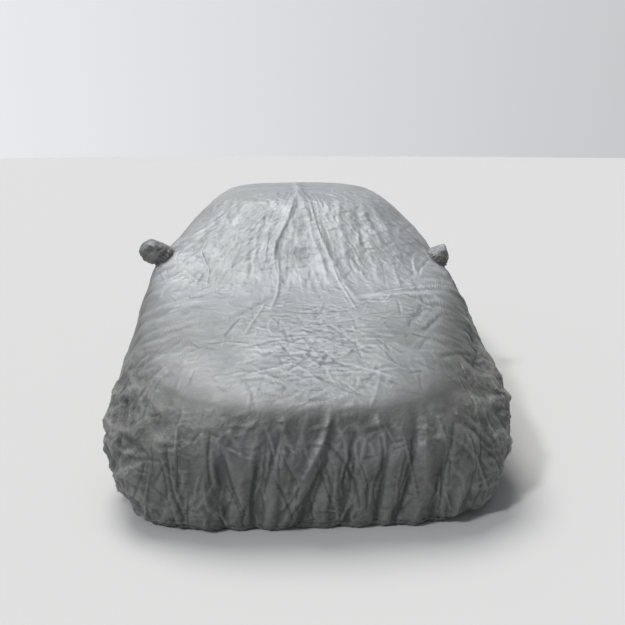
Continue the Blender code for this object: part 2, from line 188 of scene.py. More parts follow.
Fold = namedtuple("Fold", "u0 v0 u1 v1 height width")
TOP_FOLDS = (
    Fold(-0.03, 2.75, -0.02, 1.95, 0.022, 0.032),
    Fold(-0.02, 2.00, 0.06, 1.45, 0.008, 0.024),
    Fold(0.06, 1.45, 0.13, 1.15, 0.008, 0.024),
    Fold(0.07, 1.60, 0.26, 0.95, 0.007, 0.024),
    Fold(-0.05, 1.95, -0.13, 1.45, 0.006, 0.024),
    Fold(-0.10, 1.60, -0.20, 1.05, 0.006, 0.026),
    Fold(-0.24, 1.75, -0.34, 1.15, 0.005, 0.024),
    Fold(-0.36, 1.85, -0.52, 1.25, 0.006, 0.026),
    Fold(-0.48, 1.90, -0.62, 1.50, -0.006, 0.026),
    Fold(0.22, 1.80, 0.24, 1.30, 0.005, 0.024),
    Fold(0.34, 1.80, 0.36, 1.20, -0.005, 0.024),
    Fold(0.45, 1.85, 0.55, 1.45, 0.005, 0.026),
    Fold(0.32, 0.98, 0.78, 1.05, 0.010, 0.025),
    Fold(0.50, 0.68, 0.60, 0.86, -0.008, 0.022),
    Fold(-0.35, 0.78, -0.22, 0.95, -0.006, 0.025),
    Fold(-0.02, 0.55, 0.20, 0.42, 0.005, 0.028),
    Fold(-0.26, 0.40, -0.03, 0.50, 0.005, 0.028),
)
Pleat = namedtuple("Pleat", "x_top up_top x_hem height width")
NOSE_PLEATS = (
    Pleat(-0.57, 0.42, -0.54, -0.010, 0.022),
    Pleat(-0.47, 0.36, -0.46, 0.010, 0.035),
    Pleat(-0.38, 0.40, -0.38, -0.014, 0.026),
    Pleat(-0.30, 0.34, -0.32, 0.010, 0.030),
    Pleat(-0.23, 0.36, -0.26, -0.014, 0.026),
    Pleat(-0.12, 0.52, -0.20, 0.012, 0.026),
    Pleat(0.07, 0.54, -0.15, 0.016, 0.022),
    Pleat(0.05, 0.42, -0.08, -0.014, 0.022),
    Pleat(0.04, 0.24, 0.03, 0.010, 0.030),
    Pleat(0.17, 0.45, 0.10, -0.015, 0.026),
    Pleat(0.21, 0.40, 0.18, 0.010, 0.030),
    Pleat(0.29, 0.45, 0.25, -0.012, 0.024),
    Pleat(0.41, 0.50, 0.33, -0.016, 0.026),
    Pleat(0.46, 0.42, 0.42, 0.012, 0.030),
    Pleat(0.53, 0.40, 0.49, -0.012, 0.024),
    Pleat(0.62, 0.36, 0.58, 0.012, 0.030),
)
RIGHT_FOLDS = (
    Fold(0.44, 0.46, 0.26, 0.36, 0.020, 0.045),
    Fold(0.48, 0.25, 0.26, 0.29, 0.020, 0.045),
    Fold(0.30, 0.22, 0.20, 0.02, -0.022, 0.035),
    Fold(0.60, 0.40, 0.42, 0.12, -0.018, 0.055),
    Fold(0.22, 0.50, 0.16, 0.32, 0.014, 0.040),
    Fold(1.40, 0.80, 1.05, 0.25, 0.018, 0.090),
    Fold(1.62, 0.78, 1.85, 0.20, -0.016, 0.090),
    Fold(2.30, 0.80, 2.20, 0.15, 0.014, 0.100),
    Fold(2.90, 0.85, 3.05, 0.18, -0.014, 0.100),
    Fold(3.45, 0.80, 3.60, 0.20, 0.016, 0.090),
)
LEFT_FOLDS = (
    Fold(0.80, 0.62, 0.42, 0.59, -0.018, 0.035),
    Fold(0.62, 0.50, 0.34, 0.43, 0.020, 0.045),
    Fold(0.46, 0.30, 0.28, 0.12, 0.018, 0.045),
    Fold(0.32, 0.36, 0.22, 0.10, -0.016, 0.040),
    Fold(0.70, 0.34, 0.60, 0.06, -0.014, 0.055),
    Fold(1.38, 0.78, 1.15, 0.22, 0.014, 0.090),
    Fold(1.66, 0.80, 1.80, 0.25, -0.016, 0.090),
    Fold(2.40, 0.82, 2.55, 0.18, 0.014, 0.100),
    Fold(3.00, 0.84, 2.90, 0.15, -0.012, 0.100),
    Fold(3.50, 0.82, 3.70, 0.22, 0.014, 0.090),
)


TOP_SOFT = 0.75  # the sheet's folds on top are a little softer than the solid's
TOP_FOLDS_END = 2.9  # and they end here on the roof


def line_relief(u, v, fold):
    du = fold.u1 - fold.u0
    dv = fold.v1 - fold.v0
    length = math.hypot(du, dv)
    along = ((u - fold.u0) * du + (v - fold.v0) * dv) / length
    off = ((u - fold.u0) * dv - (v - fold.v0) * du) / length
    past = np.maximum(0, np.maximum(-along, along - length))
    swell = 0.55 + 0.45 * np.sin(np.pi * np.clip(along / length, 0, 1))
    return fold.height * swell * np.exp(-((off / fold.width) ** 2) - (past / (2 * fold.width)) ** 2)


def pleat_relief(x, up, pleat):
    drop = np.clip((pleat.up_top - up) / pleat.up_top, -0.5, 1)
    centre = pleat.x_top + (pleat.x_hem - pleat.x_top) * drop
    depth = 1 / (1 + np.exp(-14 * (drop - 0.12)))
    held = 0.45 + 0.55 * ease(0, 0.09, up)
    return pleat.height * depth * held * np.exp(-(((x - centre) / pleat.width) ** 2))


def zones(points, turn, level):
    """How much each point belongs to the top, the nose, the flanks and the tail."""
    x, back, up = points[..., 0], points[..., 1], points[..., 2]
    top = 1 - ease(0.66, 0.74, level)
    nose = ease(0.66, 0.74, level) * ease(0.15, 0.45, np.cos(turn))
    tail = ease(0.66, 0.74, level) * ease(0.15, 0.45, -np.cos(turn))
    flank = ease(0.62, 0.78, np.abs(x)) * (1 - ease(0.90, 1.0, up))
    return {"top": top, "nose": nose, "flank": flank, "tail": tail}


def main_relief(points, zone):
    """The part's own folds."""
    x, back, up = points[..., 0], points[..., 1], points[..., 2]
    top = TOP_SOFT * zone["top"] * (back < TOP_FOLDS_END)
    height = top * sum(line_relief(x, back, fold) for fold in TOP_FOLDS)
    height = height + zone["nose"] * sum(pleat_relief(x, up, pleat) for pleat in NOSE_PLEATS)
    held = 0.4 + 0.6 * ease(0, 0.09, up)
    right = sum(line_relief(back, up, fold) for fold in RIGHT_FOLDS)
    left = sum(line_relief(back, up, fold) for fold in LEFT_FOLDS)
    return height + zone["flank"] * held * np.where(x < 0, right, left)


def mirror_tent(points):
    x, back, up = points[..., 0], points[..., 1], points[..., 2]
    reach = np.where(x < 0, RIGHT_MIRROR.tent, LEFT_MIRROR.tent)
    near = np.exp(-(((back - MIRROR_BACK) / 0.34) ** 2) - ((up - MIRROR_UP) / 0.17) ** 2)
    zero = np.zeros_like(x)
    return np.stack((np.sign(x) * reach * near, zero, 0.3 * reach * near), -1)


# ---------------------------------------------------------------- creases

# Main creases, each a line of points. Top ones are (x, back), nose ones (x, up) and side ones (back, up).
Crease = namedtuple("Crease", "line height width")
TOP_CREASES = (
    Crease(((-0.02, 2.10), (0.03, 1.93), (0.07, 1.69), (0.10, 1.47), (0.16, 1.19)), 0.005, 0.006),
    Crease(((0.09, 1.56), (0.15, 1.30), (0.21, 1.04), (0.25, 0.82)), 0.005, 0.006),
    Crease(((-0.03, 2.00), (-0.08, 1.65), (-0.13, 1.39), (-0.14, 1.20)), 0.005, 0.006),
    Crease(((-0.11, 1.33), (-0.15, 1.05), (-0.19, 0.83)), 0.0056, 0.007),
    Crease(((-0.22, 0.90), (-0.27, 0.72), (-0.31, 0.57)), 0.0043, 0.007),
    Crease(((-0.34, 0.74), (-0.40, 0.58)), -0.0056, 0.007),
    Crease(((-0.54, 1.52), (-0.56, 1.42), (-0.52, 1.28), (-0.54, 1.14)), 0.0062, 0.008),
    Crease(((0.41, 1.03), (0.53, 1.07), (0.65, 1.10), (0.81, 1.14)), 0.0056, 0.007),
    Crease(((0.40, 0.99), (0.55, 1.03), (0.70, 1.07)), -0.0037, 0.007),
    Crease(((0.55, 0.62), (0.62, 0.71), (0.69, 0.82)), -0.0074, 0.007),
    Crease(((0.60, 0.42), (0.74, 0.50), (0.86, 0.62)), -0.0074, 0.009),
    Crease(((-0.28, 0.26), (-0.16, 0.30), (-0.05, 0.35)), 0.0043, 0.007),
    Crease(((-0.05, 0.42), (0.03, 0.31), (0.16, 0.29)), 0.0043, 0.007),
    Crease(((0.09, 0.65), (0.17, 0.55)), -0.0043, 0.007),
)


def crease_relief(u, v, crease, skew=0.35):
    """Height of one crease, steeper on one side than on the other, with ends that fade."""
    line = np.array(crease.line)
    reach = 4 * crease.width
    low = line.min(0) - reach
    high = line.max(0) + reach
    near = (u > low[0]) & (u < high[0]) & (v > low[1]) & (v < high[1])
    height = np.zeros(u.shape)
    if not near.any():
        return height
    uu, vv = u[near], v[near]
    lengths = np.linalg.norm(np.diff(line, axis=0), axis=1)
    total = lengths.sum()
    best = np.full(uu.shape, 1e9)
    side = np.zeros(uu.shape)
    place = np.zeros(uu.shape)
    start = 0.0
    for a, b, length in zip(line[:-1], line[1:], lengths):
        du, dv = (b - a) / length
        along = (uu - a[0]) * du + (vv - a[1]) * dv
        off = (uu - a[0]) * dv - (vv - a[1]) * du
        inside = np.clip(along, 0, length)
        distance = np.hypot(off, along - inside)
        closer = distance < best
        best = np.where(closer, distance, best)
        side = np.where(closer, np.sign(off), side)
        place = np.where(closer, start + inside, place)
        start += length
    fade = np.sqrt(np.clip(4 * (place / total) * (1 - place / total), 0, 1)) * 0.8 + 0.2
    width = crease.width * (1 + skew * side)
    height[near] = crease.height * fade * np.exp(-((best / width) ** 1.15))
    return height


# Tight wrinkles drawn on the nose, each a line of (x, up) points.
NOSE_CREASES = (
    Crease(((-0.60, 0.40), (-0.58, 0.20), (-0.54, 0.05)), -0.012, 0.009),
    Crease(((-0.45, 0.27), (-0.43, 0.13)), 0.009, 0.012),
    Crease(((-0.37, 0.38), (-0.33, 0.22), (-0.28, 0.08)), -0.010, 0.010),
    Crease(((-0.23, 0.32), (-0.26, 0.19), (-0.27, 0.04)), -0.012, 0.010),
    Crease(((-0.13, 0.50), (-0.17, 0.34), (-0.22, 0.18)), -0.011, 0.010),
    Crease(((0.06, 0.52), (0.03, 0.42), (-0.06, 0.26), (-0.14, 0.12)), 0.014, 0.010),
    Crease(((0.03, 0.36), (-0.03, 0.22), (-0.10, 0.11)), 0.012, 0.009),
    Crease(((0.05, 0.30), (0.00, 0.19), (-0.03, 0.06)), -0.009, 0.010),
    Crease(((0.16, 0.46), (0.14, 0.36), (0.10, 0.21)), -0.013, 0.010),
    Crease(((0.15, 0.19), (0.11, 0.04)), 0.010, 0.010),
    Crease(((0.20, 0.42), (0.17, 0.30)), 0.010, 0.010),
    Crease(((0.29, 0.37), (0.26, 0.03)), -0.011, 0.010),
    Crease(((0.41, 0.43), (0.38, 0.22), (0.34, 0.02)), -0.013, 0.011),
    Crease(((0.52, 0.29), (0.50, 0.16)), -0.010, 0.011),
)
RIGHT_CREASES = (
    Crease(((0.50, 0.36), (0.34, 0.33), (0.16, 0.36)), -0.014, 0.012),
    Crease(((0.42, 0.19), (0.30, 0.20), (0.14, 0.15)), -0.014, 0.012),
    Crease(((0.20, 0.14), (0.17, 0.08), (0.19, 0.04)), -0.020, 0.016),
    Crease(((0.46, 0.47), (0.34, 0.40), (0.24, 0.30)), 0.016, 0.016),
    Crease(((0.50, 0.30), (0.34, 0.24), (0.24, 0.27)), 0.014, 0.015),
    Crease(((0.34, 0.30), (0.27, 0.16), (0.22, 0.03)), -0.028, 0.015),
    Crease(((0.60, 0.34), (0.50, 0.16), (0.46, 0.04)), -0.014, 0.018),
)
LEFT_CREASES = (
    Crease(((0.55, 0.40), (0.38, 0.34), (0.20, 0.36)), -0.012, 0.012),
    Crease(((0.50, 0.22), (0.34, 0.26), (0.18, 0.20)), -0.012, 0.012),
    Crease(((0.76, 0.61), (0.58, 0.57), (0.40, 0.56)), -0.014, 0.014),
    Crease(((0.60, 0.47), (0.44, 0.42), (0.30, 0.40)), 0.015, 0.014),
    Crease(((0.46, 0.26), (0.36, 0.18), (0.30, 0.06)), 0.015, 0.014),
)


def hand_creases(points, zone):
    x, back, up = points[..., 0], points[..., 1], points[..., 2]
    height = zone["top"] * sum(crease_relief(x, back, crease) for crease in TOP_CREASES)
    height = height + zone["nose"] * sum(crease_relief(x, up, crease) for crease in NOSE_CREASES)
    right = sum(crease_relief(back, up, crease) for crease in RIGHT_CREASES)
    left = sum(crease_relief(back, up, crease) for crease in LEFT_CREASES)
    return height + zone["flank"] * np.where(x < 0, right, left)


# ---------------------------------------------------------------- noise


def lattice(i, j, k, seed):
    """A repeatable random number from -1 to 1 at each whole-number place."""
    mix = (i * 374761393 + j * 668265263 + k * 2147483647 + seed * 1274126177) & 0xFFFFFFFF
    mix = ((mix ^ (mix >> 13)) * 1103515245) & 0xFFFFFFFF
    mix = ((mix ^ (mix >> 16)) * 2246822519) & 0xFFFFFFFF
    return (mix ^ (mix >> 15)) / 2147483648.0 - 1


def noise(places, seed):
    """Smooth noise from about -1 to 1 at many places, whose features are about one unit across."""
    cell = np.floor(places).astype(np.int64)
    f = places - cell
    s = f * f * f * (f * (f * 6 - 15) + 10)
    total = np.zeros(places.shape[:-1])
    for a in (0, 1):
        wa = s[..., 0] if a else 1 - s[..., 0]
        for b in (0, 1):
            wb = s[..., 1] if b else 1 - s[..., 1]
            for c in (0, 1):
                wc = s[..., 2] if c else 1 - s[..., 2]
                i, j, k = cell[..., 0] + a, cell[..., 1] + b, cell[..., 2] + c
                slope = (
                    lattice(i, j, k, seed) * (f[..., 0] - a)
                    + lattice(i, j, k, seed + 1) * (f[..., 1] - b)
                    + lattice(i, j, k, seed + 2) * (f[..., 2] - c)
                )
                total += wa * wb * wc * slope
    return 1.4 * total


def ridges(places, seed):
    """Sharp ridges between rounded hollows, as crumpled cloth has. From 0 in the hollows to 1 on a ridge."""
    return (1 - np.minimum(1, 2.2 * np.abs(noise(places, seed)))) ** 2


def facets(places, seed):
    """Flat-sided folds that meet in sharp ridges, from about -0.5 to 0.5."""
    return 0.5 - np.minimum(1, 1.7 * np.abs(noise(places, seed)))


# ---------------------------------------------------------------- scattered creases

PEAK_BACK = 2.25  # the folds of the windscreen fan out from here

# Creases scattered over a region: how many, which way they run, and their size.
Scatter = namedtuple("Scatter", "region count way jitter length width height")


def away_from_peak(points):
    return points * (1.25, 1.0, 0.0) - (0.0, PEAK_BACK, 0.0)


def away_from_mirror(points):
    side = np.sign(points[:, 0])
    return points - np.stack((side * PANEL_OUT, MIRROR_BACK + 0 * side, MIRROR_UP + 0 * side), -1)


def across_car(points):
    x = points[:, 0]
    return np.stack((1 + 0 * x, 0.35 * np.sin(9 * x), 0 * x), -1)


def along_car(points):
    return np.broadcast_to((0.0, 1.0, 0.0), points.shape)


def upright(points):
    return np.broadcast_to((0.0, 0.0, 1.0), points.shape)


ANY = (-9.0, 9.0)


def region(out=ANY, back=ANY, up=ANY):
    """A box of the cloth: its limits out from the car's middle plane, back and up."""

    def inside(points):
        within = np.ones(len(points), bool)
        for values, (low, high) in zip((np.abs(points[:, 0]), points[:, 1], points[:, 2]), (out, back, up)):
            within &= (values > low) & (values < high)
        return within

    return inside


windscreen = region(out=(-1, 0.66), back=(1.10, 2.02), up=(0.78, 9))
bonnet_sides = region(out=(0.22, 9), back=(0.55, 1.15), up=(0.52, 0.90))
nose = region(out=(-1, 0.72), back=(-9, 0.35), up=(0.05, 0.46))
nose_low = region(out=(-1, 0.72), back=(-9, 0.35), up=(0.05, 0.36))
corners = region(out=(0.66, 9), back=(-9, 0.60), up=(0.05, 0.56))
roof = region(back=(1.95, 9), up=(1.12, 9))
shoulders = region(out=(0.60, 9), back=(0.9, 9), up=(0.70, 9))
sides = region(out=(0.70, 9), back=(0.55, 3.9), up=(-9, 0.85))
rear = region(back=(3.05, 9), up=(0.66, 9))
tail = region(back=(3.75, 9), up=(-9, 0.70))
top = region(out=(-1, 0.85), back=(-9, 2.1), up=(0.56, 9))
hem_edge = region(up=(0.045, 0.085))


def bonnet_left(points):
    return bonnet_sides(points) & (points[:, 0] > 0)


def bonnet_middle(points):
    x, back, up = points.T
    near = np.exp(-(((x - 0.01) / 0.24) ** 2) - ((back - 0.45) / 0.30) ** 2)
    return near * (back > 0.10) * (back < 1.2) * (up > 0.52)


def round_mirrors(points):
    x, back, up = points.T
    return (np.hypot(back - MIRROR_BACK, up - MIRROR_UP) < 0.30) & (np.abs(x) > 0.60)


SCATTERS = (
    Scatter(windscreen, 190, away_from_peak, 0.24, (0.10, 0.42), (0.004, 0.007), (0.0007, 0.0022)),
    Scatter(windscreen, 90, across_car, 0.9, (0.04, 0.12), (0.004, 0.007), (0.0006, 0.0016)),
    Scatter(top, 330, away_from_peak, 0.9, (0.05, 0.20), (0.004, 0.007), (0.0008, 0.0022)),
    Scatter(bonnet_middle, 190, across_car, 0.75, (0.06, 0.26), (0.004, 0.009), (0.0010, 0.0034)),
    Scatter(bonnet_left, 50, across_car, 1.2, (0.06, 0.22), (0.005, 0.008), (0.0016, 0.0040)),
    Scatter(nose_low, 80, upright, 0.22, (0.12, 0.42), (0.004, 0.009), (0.003, 0.010)),
    Scatter(nose, 90, across_car, 0.9, (0.04, 0.16), (0.004, 0.007), (0.0016, 0.0045)),
    Scatter(corners, 80, upright, 0.9, (0.12, 0.36), (0.006, 0.012), (0.004, 0.010)),
    Scatter(corners, 60, across_car, 1.5, (0.06, 0.20), (0.005, 0.008), (0.002, 0.005)),
    Scatter(roof, 40, along_car, 0.9, (0.10, 0.35), (0.012, 0.020), (0.0015, 0.0035)),
    Scatter(shoulders, 90, along_car, 0.5, (0.12, 0.36), (0.011, 0.018), (0.002, 0.0045)),
    Scatter(round_mirrors, 70, away_from_mirror, 0.2, (0.10, 0.30), (0.005, 0.009), (0.0015, 0.0045)),
    Scatter(sides, 130, upright, 0.45, (0.16, 0.50), (0.014, 0.026), (0.003, 0.008)),
    Scatter(rear, 60, along_car, 0.7, (0.12, 0.36), (0.014, 0.024), (0.002, 0.0045)),
    Scatter(tail, 80, upright, 0.4, (0.12, 0.38), (0.014, 0.024), (0.003, 0.007)),
    Scatter(hem_edge, 300, upright, 0.25, (0.04, 0.11), (0.006, 0.010), (0.002, 0.0045)),
)


def scatter_creases(points, normals, areas):
    """Chooses places on the whole cloth for the scattered creases."""
    rng = np.random.default_rng(41)
    chosen = []
    for scatter in SCATTERS:
        weight = areas * scatter.region(points)
        picks = rng.choice(len(points), scatter.count, p=weight / weight.sum())
        way = scatter.way(points[picks])
        normal = normals[picks]
        way = way - normal * (way * normal).sum(1, keepdims=True)
        way /= np.linalg.norm(way, axis=1, keepdims=True) + 1e-9
        side = np.cross(normal, way)
        turn = rng.normal(0, scatter.jitter, scatter.count)[:, None]
        way = way * np.cos(turn) + side * np.sin(turn)
        side = np.cross(normal, way)
        length = rng.uniform(*scatter.length, scatter.count)
        width = rng.uniform(*scatter.width, scatter.count)
        height = rng.uniform(*scatter.height, scatter.count) * rng.choice((-1, 1), scatter.count)
        bend = rng.normal(0, 0.9, scatter.count)
        skew = rng.uniform(-0.45, 0.45, scatter.count)
        chosen += list(zip(points[picks], way, side, normal, length, width, height, bend, skew))
    return chosen


def scattered_relief(points, creases):
    flat = points.reshape(-1, 3)
    height = np.zeros(len(flat))
    order = np.argsort(flat[:, 1], kind="stable")
    backs = flat[order, 1]
    for centre, way, side, normal, length, width, rise, bend, skew in creases:
        reach = length / 2 + 3 * width
        first, last = np.searchsorted(backs, (centre[1] - reach, centre[1] + reach))
        index = order[first:last]
        off = flat[index] - centre
        near = (np.abs(off[:, 0]) < reach) & (np.abs(off[:, 2]) < reach)
        index = index[near]
        off = off[near]
        along = off @ way
        across = off @ side - bend * (along**2 - (length / 4) ** 2)
        beside = np.abs(off @ normal)
        fade = np.clip(1 - (2 * along / length) ** 2, 0, 1)
        wide = width * (1 + skew * np.sign(across)) * (0.6 + 0.4 * fade)
        shape = np.exp(-((np.abs(across) / wide) ** 1.15)) * fade
        height[index] += rise * shape * (beside < 0.08)
    return height.reshape(points.shape[:-1])


# ---------------------------------------------------------------- the whole relief

HEM_BAND = 0.038  # height of the hem's casing
SEAM_BAND = 0.010  # width of the felled seam
PUCKER_PITCH = 0.031  # from one pucker of the seam to the next
GATHER, WIDE_GATHER, LOOSE_GATHER = 0.034, 0.057, 0.12  # the pitches of the hem's gathers


def pulls(points, zone):
    """Where the cloth is creased, and which way it is pulled there."""
    x, back, up = points[..., 0], points[..., 1], points[..., 2]
    glass = ease(0.92, 1.18, back) * (1 - ease(1.98, 2.16, back)) * (1 - ease(0.60, 0.80, np.abs(x)))
    middle = np.exp(-(((x + 0.02) / 0.27) ** 2)) * (1 - ease(0.75, 1.0, back))
    face = zone["nose"] * (1 - ease(0.46, 0.55, up))
    corner = ease(0.58, 0.74, np.abs(x)) * (1 - ease(0.50, 0.85, back)) * (1 - ease(0.56, 0.66, up))
    crush = ease(0.66, 0.80, np.abs(x)) * (1 - ease(0.50, 0.80, back)) * (1 - ease(0.44, 0.60, up))
    side = zone["flank"] * ease(0.5, 0.8, back) * (1 - ease(0.74, 0.92, up))
    end = zone["tail"] * (1 - ease(0.55, 0.70, up))
    return {
        "glass": glass * zone["top"],
        "middle": middle * zone["top"],
        "face": face,
        "corner": corner,
        "crush": crush,
        "side": side,
        "end": end,
    }


# A layer of creases: how high, where, of what pattern, over which two measures and of what size along each,
# from which seed, and how much is taken off the pattern first.
Layer = namedtuple("Layer", "height share pattern across along wide long seed less")


def crumple(points, zone, pull):
    """Fine ridges whose run follows the pull of the cloth in each region."""
    x, back, up = points[..., 0], points[..., 1], points[..., 2]
    sway = 0.03 * noise(points / 0.22, 900)
    bend = 0.035 * noise(points / 0.11, 910)
    reach = np.hypot(1.2 * x, back - 2.35) + 1e-6
    fan = 0.75 * np.arctan2(1.2 * x, 2.35 - back)
    glass, middle, face = pull["glass"], pull["middle"], pull["face"]
    corner, crush, side, end = pull["corner"], pull["crush"], pull["side"], pull["end"]
    height = 0.0010 * zone["top"] * ridges(points / (0.08, 0.10, 0.08), 40) * (1 - 0.6 * glass)
    for layer in (
        Layer(0.0013, glass, ridges, fan + sway, reach, 0.045, 0.50, 10, 0),
        Layer(0.0010, glass, ridges, fan - sway, reach, 0.026, 0.20, 20, 0),
        Layer(0.0014, middle, ridges, back + sway, x, 0.040, 0.14, 30, 0),
        Layer(0.0075, face, ridges, x + sway + bend, up, 0.110, 0.38, 50, 0.3),
        Layer(0.0050, face, facets, x + 0.35 * up + bend, up - 0.3 * x, 0.110, 0.26, 60, 0),
        Layer(0.0014, face, facets, x - 0.4 * up, up + bend, 0.040, 0.07, 65, 0),
        Layer(0.0080, crush, ridges, up + 0.25 * back + sway, x - back, 0.085, 0.20, 87, 0.3),
        Layer(0.0070, side, ridges, back + 1.5 * sway, up, 0.13, 0.55, 90, 0),
        Layer(0.0035, side, ridges, back - sway, up, 0.06, 0.25, 95, 0),
        Layer(0.0070, end, ridges, x + sway, up, 0.09, 0.40, 97, 0),
    ):
        places = np.stack((layer.across / layer.wide, layer.along / layer.long, 0.3 * up), -1)
        height += layer.height * layer.share * (layer.pattern(places, layer.seed) - layer.less)
    for size, rise, seed in ((0.190, 0.0230, 70), (0.100, 0.0070, 80), (0.045, 0.0012, 85)):
        height += rise * corner * facets(points / size, seed)
    return height


def lumps(points):
    """Slack swells, broad and low."""
    return 0.006 * noise(points / 0.30, 200) + 0.0035 * noise(points / 0.13, 210)


def line_noise(run, seed, aside=0):
    """Noise along one measure only."""
    return noise(np.stack((run, 0 * run + aside, 0 * run), -1), seed)


def hem_relief(below, around):
    """Gathers drawn up by the elastic, its casing's bulge and the stitch line above it."""
    deep = 1 - ease(0.0, 0.16, below)
    tight = 1 - ease(0.0, 0.075, below)
    drift = 0.012 * line_noise(around / 0.17, 300)
    strength = 0.6 + 0.5 * line_noise(around / 0.21, 310, 4)
    waves = np.sin(2 * np.pi * (around + drift) / GATHER)
    waves = waves + 0.6 * np.sin(2 * np.pi * (around - drift) / WIDE_GATHER)
    loose = np.sin(2 * np.pi * (around + 2 * drift) / LOOSE_GATHER)
    height = 0.0020 * tight * strength * waves + 0.0026 * deep * strength * loose
    casing = ease(0.0, 0.010, below) * (1 - ease(HEM_BAND - 0.008, HEM_BAND, below))
    stitches = np.exp(-(((below - HEM_BAND) / 0.0045) ** 2))
    return height + 0.0018 * casing - 0.0020 * stitches


def seam_seen(up):
    """The seams show on the nose and the tail, and not on the bonnet and the roof."""
    return ease(0.0, 0.16, 0.50 - up)


def seam_relief(points, beside, run):
    """The felled seam's low band, its stitch line and the puckers along both."""
    band = 1 - ease(SEAM_BAND * 0.8, SEAM_BAND * 1.15, beside)
    stitches = np.exp(-(((beside - SEAM_BAND) / 0.0022) ** 2))
    near = np.exp(-((beside / 0.035) ** 2))
    drift = 0.010 * line_noise(run / 0.15, 400)
    strength = 0.5 + 0.5 * line_noise(run / 0.19, 410)
    pucker = np.sin(2 * np.pi * (run + drift) / PUCKER_PITCH) * strength
    return seam_seen(points[..., 2]) * (0.0012 * band - 0.0012 * stitches + 0.0010 * near * pucker)


# ---------------------------------------------------------------- grids of cloth


class Sheet:
    """A grid of cloth: its smooth points, where they lie on the rings, and their outward normals."""

    def __init__(self, points, turn, level):
        self.base = points
        self.turn = turn
        self.level = level
        across = np.gradient(points, axis=1)
        down = np.gradient(points, axis=0)
        normal = np.cross(across, down)
        size = np.linalg.norm(normal, axis=-1, keepdims=True)
        self.area = size[..., 0]
        normal = normal / np.maximum(size, 1e-12)
        outward = points - np.array((0.0, 2.1, 0.35))
        self.flipped = (normal * outward).sum() < 0
        self.normal = -normal if self.flipped else normal


CENTRE_COLUMNS = 200
ROWS_CHANGE = 2.15  # the rows lie closer together ahead of this place on the roof
CENTRE_ROWS = (108, 246, 80, 38)  # nose, bonnet to roof's front, the rest of the top, tail
SIDE_COLUMNS = 470
SIDE_ROWS = 190
SIDE_NOSE = 1.8  # how much closer together a side panel's columns lie at the nose
TUCK = 0.008  # how far a side panel runs on under the centre panel


def centre_sheet():
    t = np.linspace(-1, 1, CENTRE_COLUMNS)
    x = SEAM_X * (0.80 * t + 0.20 * np.sin(t * np.pi / 2))
    nose_rows, front_rows, rear_rows, tail_rows = CENTRE_ROWS
    grids = []
    hem_close = np.linspace(0, 1, nose_rows, endpoint=False) ** 1.3
    level = (1 - (1 - BONNET_EDGE) * hem_close)[:, None] + 0 * x
    turn = turn_at(x + 0 * level, level, False)
    grids.append((on_rings(turn, level), turn, level))
    edge = np.full(x.shape, BONNET_EDGE)
    first = on_rings(turn_at(x, edge, False), edge)[:, 1]
    last = on_rings(turn_at(x, edge, True), edge)[:, 1]
    dense = np.linspace(first.min(), last.max(), 1500)
    middle_level, middle_turn = level_over(0 * dense, dense)
    ring = ring_at(middle_level)
    up = np.where(np.cos(middle_turn) < 0, ring["up_rear"], ring["up_front"])
    arc = np.hypot(np.diff(dense), np.diff(up))
    for front_part, rows in ((dense[1:] < ROWS_CHANGE, front_rows), (dense[1:] >= ROWS_CHANGE, rear_rows)):
        arc[front_part] *= rows / arc[front_part].sum()
    steps = np.concatenate(([0], np.cumsum(arc)))
    marks = np.linspace(0, steps[-1], front_rows + rear_rows)
    share = (np.interp(marks, steps, dense) - dense[0]) / (dense[-1] - dense[0])
    back = first + (last - first) * share[:, None]
    wide = x + 0 * back
    level, turn = level_over(wide, back)
    ring = ring_at(level)
    ahead = np.cos(turn)
    end_up = np.where(ahead < 0, ring["up_rear"], ring["up_front"])
    up = end_up * ahead**2 + ring["up_side"] * np.sin(turn) ** 2
    grids.append((np.stack((wide, back, up), -1), turn, level))
    level = np.linspace(BONNET_EDGE, 1, tail_rows + 1)[1:, None] + 0 * x
    turn = turn_at(x + 0 * level, level, True)
    grids.append((on_rings(turn, level), turn, level))
    points, turn, level = (np.concatenate([grid[i] for grid in grids]) for i in range(3))
    return Sheet(points, turn, level)


def side_sheet(side):
    start = SEAM_X - TUCK
    half_widths = ring_at(np.linspace(0, 1, 4001))["half_width"]
    top = np.linspace(0, 1, 4001)[np.argmax(half_widths > start)]
    share = np.linspace(0, 1, SIDE_ROWS)
    level = (top + (1 - top) * (0.75 * share + 0.75 * share**2 - 0.50 * share**3))[:, None]
    seam = np.full(level.shape, side * start)
    front = np.abs(turn_at(seam, level, False))
    back = np.pi - np.abs(np.pi - turn_at(seam, level, True))

    def turn_of(place):
        """The turn for a place from -1 at the front seam to 1 at the rear one, slowest half-way."""
        quarter = np.pi / 2
        swing = np.where(place < 0, quarter - front, back - quarter)
        return side * (quarter + swing * place**3)

    dense = np.linspace(-1, 1, 2401)
    points = on_rings(turn_of(dense), level)
    arc = np.linalg.norm(np.diff(points, axis=1), axis=-1)
    arc *= 1 + SIDE_NOSE * (1 - ease(0.45, 1.30, points[:, 1:, 1]))
    steps = np.pad(np.cumsum(arc, axis=1), ((0, 0), (1, 0)))
    marks = np.linspace(0, 1, SIDE_COLUMNS)
    place = np.stack([np.interp(marks * row[-1], row, dense) for row in steps])
    turn = turn_of(place)
    level = level + 0 * marks
    return Sheet(on_rings(turn, level), turn, level)


def to_frame(points):
    return points - np.array((0.0, REST_BACK, REST_UP))


# ---------------------------------------------------------------- shaping and meshes

HEM_RADIUS = 0.003
HEM_TURN = 0.034  # how far the casing's inner layer runs up


def ring_runs():
    """Distance round the hem at each turn."""
    turn = np.linspace(-np.pi, 2 * np.pi, 6001)
    hem = on_rings(turn, np.full(turn.shape, 1.0))
    steps = np.linalg.norm(np.diff(hem, axis=0), axis=1)
    return turn, np.concatenate(([0], np.cumsum(steps)))


